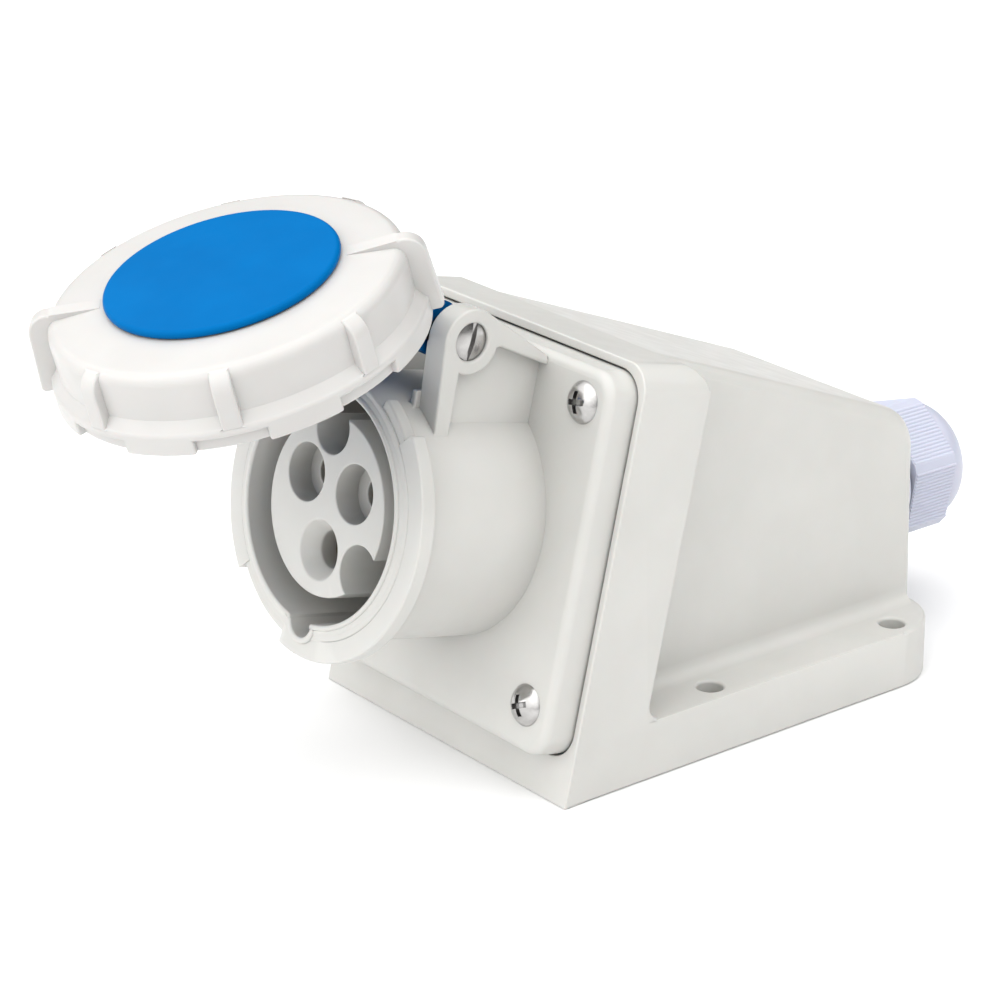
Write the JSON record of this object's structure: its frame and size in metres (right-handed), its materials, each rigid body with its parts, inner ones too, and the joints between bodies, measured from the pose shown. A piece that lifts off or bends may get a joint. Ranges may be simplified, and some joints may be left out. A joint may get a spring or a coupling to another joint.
{
  "type": "wall mounted pin and sleeve socket",
  "caption": "Wall mounted pin and sleeve socket: sloped grey box, hinged blue lid with a white bayonet ring, brass sleeve contacts and a cable gland.",
  "frame": {"origin": "centre of the four mounting holes on the wall face", "axes": "+Z out of the wall, socket and lid towards -Y, cable gland towards +Y, +X across the box"},
  "size_m": [0.1, 0.2808, 0.1487],
  "materials": {
    "grey_plastic": "light warm grey, fine satin",
    "white_plastic": "near white, satin",
    "blue_plastic": "saturated mid blue, satin",
    "gland_plastic": "white with a lilac cast, satin",
    "rubber": "matt black",
    "steel": "bright stainless",
    "spring_steel": "blackened spring wire",
    "brass": "turned brass"
  },
  "bodies": {
    "root": {"wall_box": "grey_plastic", "flange_gasket": "rubber", "socket_housing": "grey_plastic", "flange_screws": "steel", "contact_carrier": "grey_plastic", "line_contact": "brass", "neutral_contact": "brass", "earth_contact": "brass", "terminal_screws": "steel", "contact_retainer": "grey_plastic", "retainer_screws": "steel", "hinge_pin": "steel", "hinge_nut": "steel", "hinge_spring": "spring_steel", "gland_washer": "gland_plastic", "gland_body": "gland_plastic", "gland_locknut": "gland_plastic", "gland_seal": "rubber", "gland_nut": "gland_plastic"},
    "lid": {"lid_cap": "blue_plastic", "lid_gasket": "rubber", "lid_disc": "blue_plastic"},
    "ring": {"lid_ring": "white_plastic"}
  },
  "joints": [
    {"name": "lid_hinge", "type": "hinge", "parent": "root", "child": "lid", "pos_m": [0, -0.09369, 0.11645], "axis": [-1, 0, 0], "range_deg": [-61, 50]},
    {"name": "ring_turn", "type": "hinge", "parent": "lid", "child": "ring", "pos_m": [0, -0.14919, 0.1384], "axis": [0, 0.2756, -0.9613], "range_deg": [0, 35]}
  ]
}
